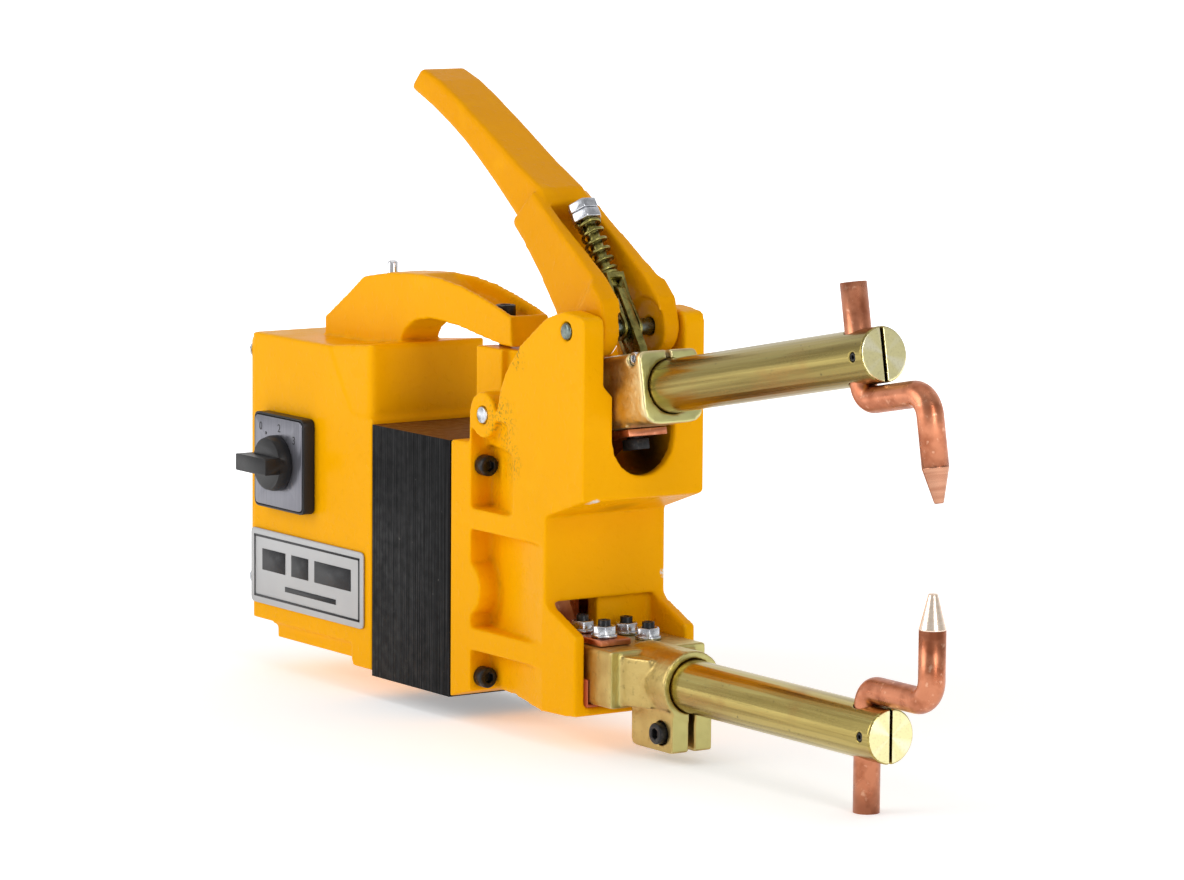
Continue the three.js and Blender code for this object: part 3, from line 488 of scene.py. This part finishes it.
LOOKS = {
    "enamel": enamel(),
    "front_enamel": enamel(
        "front_enamel",
        grime=[((78, -34, 138), 17), ((86, -34, 120), 13), ((92, -34, 170), 9)],
        chips=[((146, -27, 106), 4), ((117.4, 34, 66), 3)],
        # Painted shade over the unlit room inside the upper housing.
        painted_shade=[((118, 0, 128), 31)],
    ),
    # Painted shade: the lever wears a darker copy of the body's enamel, for the lesser light that falls on it.
    "lever_enamel": enamel("lever_enamel", base=(0.74, 0.305, 0.0005)),
    "rear_enamel": enamel("rear_enamel", grime=[((40, 0, 183), 11), ((26, 4, 186), 7)]),
    "lamination": lamination(),
    "insulation": insulation(),
    "copper": copper(),
    "upper_point": dressed_copper("upper_point", (0.60, 0.30, 0.19), (0.40, 0.16, 0.09)),
    # The lower point's pale colour is a painted highlight on the same dressed copper as the upper point.
    "lower_point": dressed_copper("lower_point", (1.0, 0.84, 0.70), (0.92, 0.70, 0.54)),
    "bronze": cast_brass("bronze", (0.74, 0.62, 0.34), (0.54, 0.40, 0.19), (0.62, 0.60, 0.26)),
    "cast_brass": cast_brass("cast_brass", (0.55, 0.41, 0.15), (0.42, 0.28, 0.09), (0.56, 0.51, 0.20)),
    "upper_brass": drawn_brass("upper_brass", 0.68),
    "arm_brass": drawn_brass("arm_brass", 0.95),
    "turned_brass": turned_brass(),
    "black_plastic": black_plastic(),
    "brushed_plate": brushed_plate(),
    "plate": satin_plate(),
    "chrome": chrome(),
    "zinc": plated_steel("zinc", (0.62, 0.64, 0.68), (0.36, 0.37, 0.40), 0.26),
    "pin_steel": plated_steel("pin_steel", (0.20, 0.24, 0.22), (0.10, 0.12, 0.10), 0.28),
    "olive_zinc": plated_steel("olive_zinc", (0.34, 0.30, 0.09), (0.13, 0.12, 0.035), 0.30),
    "black_oxide": black_oxide(),
    "printed_black": printed_black(),
}


# ------------------------------------------------------------------ shape helpers

def new_piece(name, mesh, body, look, stands_for=(), place=None):
    """Adds a mesh as a piece of the object; place is its own frame, if it isn't the object's."""
    piece = bpy.data.objects.new(name, mesh)
    bpy.context.scene.collection.objects.link(piece)
    if place:
        piece.matrix_world = place
    mesh.materials.clear()
    mesh.materials.append(LOOKS[look])
    for polygon in mesh.polygons:
        polygon.use_smooth = True
    if body:
        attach(piece, body)
    if stands_for:
        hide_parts(*stands_for)
    return piece


def welded_copy(node):
    """The node's mesh with its split corners merged, in an unlinked bmesh."""
    work = bmesh.new()
    work.from_mesh(frame["nodes"][node].data)
    bmesh.ops.remove_doubles(work, verts=work.verts, dist=2e-6)
    return work


def evaluated(work, add_modifiers):
    """The mesh that is left once the modifiers have been applied."""
    mesh = bpy.data.meshes.new("work")
    work.to_mesh(mesh)
    work.free()
    holder = bpy.data.objects.new("work", mesh)
    bpy.context.scene.collection.objects.link(holder)
    add_modifiers(holder)
    graph = bpy.context.evaluated_depsgraph_get()
    result = bpy.data.meshes.new_from_object(holder.evaluated_get(graph))
    bpy.data.objects.remove(holder)
    bpy.data.meshes.remove(mesh)
    return result


def softened(work, voxel, passes):
    """The mesh remade in small cells, in millimetres, and then smoothed."""
    def modifiers(holder):
        remesh = holder.modifiers.new("remesh", "REMESH")
        remesh.mode = "VOXEL"
        remesh.voxel_size = voxel * MM
        smooth = holder.modifiers.new("smooth", "SMOOTH")
        smooth.factor = 0.5
        smooth.iterations = passes

    return evaluated(work, modifiers)


def rounded(node, voxel, passes, look=None):
    """A casting: the CAD shape with every edge and corner softened."""
    mesh = softened(welded_copy(node), voxel, passes)
    return new_piece(f"{node}_piece", mesh, BODY_OF[node], look or SLOT_OF[node], [node])


def machined(node, bevel, look=None, segments=3, bends=False):
    """A machined or moulded piece: the CAD shape with small bevels. One that bends rides on no body."""
    work = welded_copy(node)
    bmesh.ops.dissolve_limit(work, angle_limit=math.radians(1), verts=work.verts, edges=work.edges)

    def modifiers(holder):
        edge = holder.modifiers.new("bevel", "BEVEL")
        edge.width = bevel * MM
        edge.segments = segments
        edge.limit_method = "ANGLE"
        edge.angle_limit = math.radians(38)
        edge.harden_normals = True
        normals = holder.modifiers.new("normals", "WEIGHTED_NORMAL")
        normals.keep_sharp = True

    mesh = evaluated(work, modifiers)
    body = None if bends else BODY_OF[node]
    return new_piece(f"{node}_piece", mesh, body, look or SLOT_OF[node], [node])


def circle(sides):
    return [2 * math.pi * step / sides for step in range(sides)]


def lathe(work, origin, direction, profile, sides):
    """Turns [radius, distance] pairs, in millimetres, about a line from origin."""
    axis = Vector(direction).normalized()
    turn = axis.to_track_quat("Z", "Y").to_matrix()
    rings = []
    for radius, distance in profile:
        centre = Vector(origin) + axis * distance * MM
        if radius == 0:
            rings.append([work.verts.new(centre)])
            continue
        rings.append([
            work.verts.new(centre + turn @ Vector((math.cos(angle), math.sin(angle), 0)) * radius * MM)
            for angle in circle(sides)
        ])
    for lower, upper in zip(rings, rings[1:]):
        for step in range(sides):
            following = (step + 1) % sides
            if len(lower) == 1:
                work.faces.new((lower[0], upper[step], upper[following]))
            elif len(upper) == 1:
                work.faces.new((lower[step], upper[0], lower[following]))
            else:
                work.faces.new((lower[step], upper[step], upper[following], lower[following]))


def tube(work, points, radius, sides):
    """A round tube in millimetres of radius along points in metres, closed at both ends."""
    rings = []
    reference = Vector((0, 1, 0))
    for index, point in enumerate(points):
        before = points[max(index - 1, 0)]
        after = points[min(index + 1, len(points) - 1)]
        along = (after - before).normalized()
        across = along.cross(reference)
        if across.length < 1e-3:
            across = along.cross(Vector((1, 0, 0)))
        across.normalize()
        reference = across.cross(along)
        spokes = (across * math.cos(angle) + reference * math.sin(angle) for angle in circle(sides))
        rings.append([work.verts.new(point + spoke * radius * MM) for spoke in spokes])
    for lower, upper in zip(rings, rings[1:]):
        for step in range(sides):
            following = (step + 1) % sides
            work.faces.new((lower[step], lower[following], upper[following], upper[step]))
    work.faces.new(list(reversed(rings[0])))
    work.faces.new(rings[-1])


def finished_mesh(work, name):
    bmesh.ops.recalc_face_normals(work, faces=work.faces)
    mesh = bpy.data.meshes.new(name)
    work.to_mesh(mesh)
    work.free()
    return mesh


def middle(node):
    low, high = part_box(node)
    return (low + high) / 2


def pivot(name):
    """Where a hinge of the frame stands at rest."""
    return Vector(next(joint["pos_m"] for joint in frame["joints"] if joint["name"] == name))


# ------------------------------------------------------------------ castings

def make_castings():
    rounded("rear_casting", 1.0, 7, "rear_enamel")
    rounded("front_casting", 1.0, 7, "front_enamel")
    rounded("lever", 0.9, 12, "lever_enamel")
    rounded("arm_rocker", 0.7, 6)
    rounded("lower_clamp_block", 0.7, 6)
    machined("rear_cover", 0.6)


# ------------------------------------------------------------------ arms and electrodes

def make_arm(node, place, look):
    """A drawn bar along the X axis of place, with its far end faced on a lathe."""
    work = welded_copy(node)
    bmesh.ops.transform(work, matrix=place.inverted(), verts=work.verts)
    mesh = softened(work, 0.4, 4)
    new_piece(f"{node}_piece", mesh, BODY_OF[node], look, [node], place)
    mesh.materials.append(LOOKS["turned_brass"])
    end = max(vertex.co.x for vertex in mesh.vertices)
    for polygon in mesh.polygons:
        if polygon.normal.x > 0.9 and polygon.center.x > end - 0.8 * MM:
            polygon.material_index = 1


def upper_arm_frame():
    """X along the tilted arm, from above the rocker's pivot."""
    turn = Matrix.Rotation(-ARM_TILT, 4, "Y")
    lift = Matrix.Translation((0, 0, ARM_ABOVE_PIVOT * MM))
    return Matrix.Translation(pivot("arm_hinge")) @ turn @ lift


def make_arms():
    make_arm("upper_arm", upper_arm_frame(), "upper_brass")
    make_arm("lower_arm", Matrix.Translation((0, 0, middle("lower_arm").z)), "arm_brass")


def electrode_route(stub):
    """Centre line of a bent electrode, from its stub to its point: along the arm, and away from it."""
    run, reach, shoulder = 19, 45, 51.7
    first, second = 7.5, 10  # radius of each bend
    quarter = [math.pi / 2 * step / 10 for step in range(11)]
    line = [(0, -stub), (0, 0)]
    line += [
        (first - first * math.cos(angle), run - first + first * math.sin(angle))
        for angle in quarter
    ]
    line += [
        (reach - second + second * math.sin(angle), run + second - second * math.cos(angle))
        for angle in quarter
    ]
    line.append((reach, shoulder))
    return line


def make_electrode(node, place, side, stub, point_look):
    """A bar bent twice, laid out from its hole in the arm; side is 1 where the point is above the arm."""
    body = BODY_OF[node]
    line = [Vector((along, 0, side * away)) * MM for along, away in electrode_route(stub)]
    shank = bmesh.new()
    tube(shank, line, ELECTRODE_RADIUS, 40)
    new_piece(f"{node}_piece", finished_mesh(shank, node), body, "copper", [node], place)
    point = bmesh.new()
    shoulder = line[-1] - Vector((0, 0, side)) * 0.4 * MM
    lathe(point, shoulder, (0, 0, side), POINT_PROFILE, 40)
    name = f"{node}_point"
    new_piece(name, finished_mesh(point, name), body, point_look, place=place)


def make_electrodes():
    upper_hole = upper_arm_frame() @ Matrix.Translation((UPPER_HOLE * MM, 0, 0))
    make_electrode("upper_electrode", upper_hole, -1, UPPER_STUB, "upper_point")
    lower_hole = Matrix.Translation((LOWER_HOLE * MM, 0, middle("lower_arm").z))
    make_electrode("lower_electrode", lower_hole, 1, LOWER_STUB, "lower_point")


# ------------------------------------------------------------------ the rest of the metalwork

def make_hardware():
    for place in ("lower_near", "lower_far", "upper_near", "upper_far"):
        machined(f"tie_bolt_{place}", 0.35)
    for number in range(1, 5):
        machined(f"cover_screw_{number}", 0.25)
        machined(f"stud_nut_{number}", 0.35)
        machined(f"stud_{number}", 0.3)
    for node in ("handle_screw", "lower_clamp_screw", "upper_clamp_screw", "shunt_bolt"):
        machined(node, 0.35)
    for node in ("rocker_pin", "rod_pin", "trigger_plunger"):
        machined(node, 0.4)
    machined("lever_pin", 0.4, "pin_steel")
    for node in ("adjusting_nut", "lock_nut"):
        machined(node, 0.5)
    for node in ("spring_yoke", "pull_rod", "bus_bar"):
        machined(node, 0.4)
    for node in ("upper_electrode_screw", "lower_electrode_screw"):
        machined(node, 0.2)


def make_spring():
    """The wound return spring between the yoke and the adjusting nut, its end turns closed."""
    above_pin = 45.7
    length = 29.6
    wire = 0.85
    radius = 5.1
    turns = 7
    closed = 0.8  # turns that lie flat at each end
    steps = turns * 28

    pin = pivot("rod_pivot")
    axis = (pivot("lever_hinge") - pin).normalized()
    tilt = axis.to_track_quat("Z", "Y").to_matrix()
    foot = pin + axis * above_pin * MM
    points = []
    for step in range(steps + 1):
        share = step / steps
        rise = min(max((share * turns - closed) / (turns - 2 * closed), 0), 1)
        climb = wire + (length - 2 * wire) * rise
        angle = 2 * math.pi * turns * share
        spot = Vector((radius * math.cos(angle), radius * math.sin(angle), climb))
        points.append(foot + tilt @ spot * MM)
    work = bmesh.new()
    tube(work, points, wire, 12)
    mesh = finished_mesh(work, "return_spring")
    piece = new_piece("return_spring_piece", mesh, "yoke", "olive_zinc", ["return_spring"])
    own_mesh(piece)


# ------------------------------------------------------------------ core, windings and inner parts

def make_inner_parts():
    machined("core_laminations", 0.5)
    machined("primary_coil", 1.2)
    for node in ("secondary_turn", "rocker_bush", "lower_insulator"):
        machined(node, 0.4)
    for node in ("microswitch", "switch_body", "cable_gland"):
        machined(node, 0.4)


def make_shunt():
    """The flexible lead that bends between the secondary turn and the rocker."""
    node = "flexible_shunt"
    piece = machined(node, 0.3, bends=True)
    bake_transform(piece)


# ------------------------------------------------------------------ selector switch and plate

def numeral(mark):
    """A dial number as a thin flat mesh, upright in its own XY plane."""
    data = bpy.data.curves.new("mark", "FONT")
    data.body = mark
    data.size = DIAL_MARK_HEIGHT * MM
    data.extrude = 0.08 * MM
    data.align_x = "CENTER"
    data.align_y = "CENTER"
    text = bpy.data.objects.new("mark", data)
    bpy.context.scene.collection.objects.link(text)
    graph = bpy.context.evaluated_depsgraph_get()
    mesh = bpy.data.meshes.new_from_object(text.evaluated_get(graph))
    bpy.data.objects.remove(text)
    return mesh


def make_switch():
    machined("switch_frame", 0.8)
    machined("switch_plate", 0.2)
    machined("switch_knob", 1.1)
    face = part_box("switch_plate")[0].y
    centre = middle("switch_plate")
    upright = Matrix.Rotation(math.pi / 2, 4, "X")
    for mark, across, up in DIAL_MARKS:
        spot = (centre.x + across * MM, face - 0.02 * MM, centre.z + up * MM)
        place = Matrix.Translation(spot) @ upright
        new_piece(f"dial_{mark}", numeral(mark), "frame", "printed_black", place=place)

    dot = bmesh.new()
    spot = (centre.x - 11.7 * MM, face + 0.05 * MM, centre.z + 13.9 * MM)
    lathe(dot, spot, (0, -1, 0), [(0, 0), (0.8, 0), (0.8, 0.12), (0, 0.12)], 20)
    new_piece("dial_dot", finished_mesh(dot, "dial_dot"), "frame", "printed_black")


def make_nameplate():
    """The plate with a printed border and plain bars in place of any lettering."""
    machined("nameplate", 0.3)
    low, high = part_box("nameplate")
    inset = 3.2 * MM
    width = 1.1 * MM
    face = low.y - 0.15 * MM
    left, right = low.x + inset, high.x - inset
    bottom, top = low.z + inset, high.z - inset
    strips = [
        (left, right, top - width, top),
        (left, right, bottom, bottom + width),
        (left, left + width, bottom, top),
        (right - width, right, bottom, top),
    ]
    span = right - left
    tall = top - bottom
    for start, end, share, thick in PLATE_BARS:
        strips.append((
            left + span * start, left + span * end,
            bottom + tall * (share - thick / 2), bottom + tall * (share + thick / 2),
        ))
    work = bmesh.new()
    for x0, x1, z0, z1 in strips:
        place = Matrix.Translation(((x0 + x1) / 2, (face + low.y) / 2, (z0 + z1) / 2))
        size = Matrix.Diagonal((x1 - x0, low.y - face, z1 - z0, 1))
        bmesh.ops.create_cube(work, size=1, matrix=place @ size)
    mesh = finished_mesh(work, "nameplate_print")
    new_piece("nameplate_print", mesh, "frame", "printed_black")


# ------------------------------------------------------------------ assembly

make_camera()
make_studio()
make_castings()
make_arms()
make_electrodes()
make_hardware()
make_spring()
make_inner_parts()
make_shunt()
make_switch()
make_nameplate()
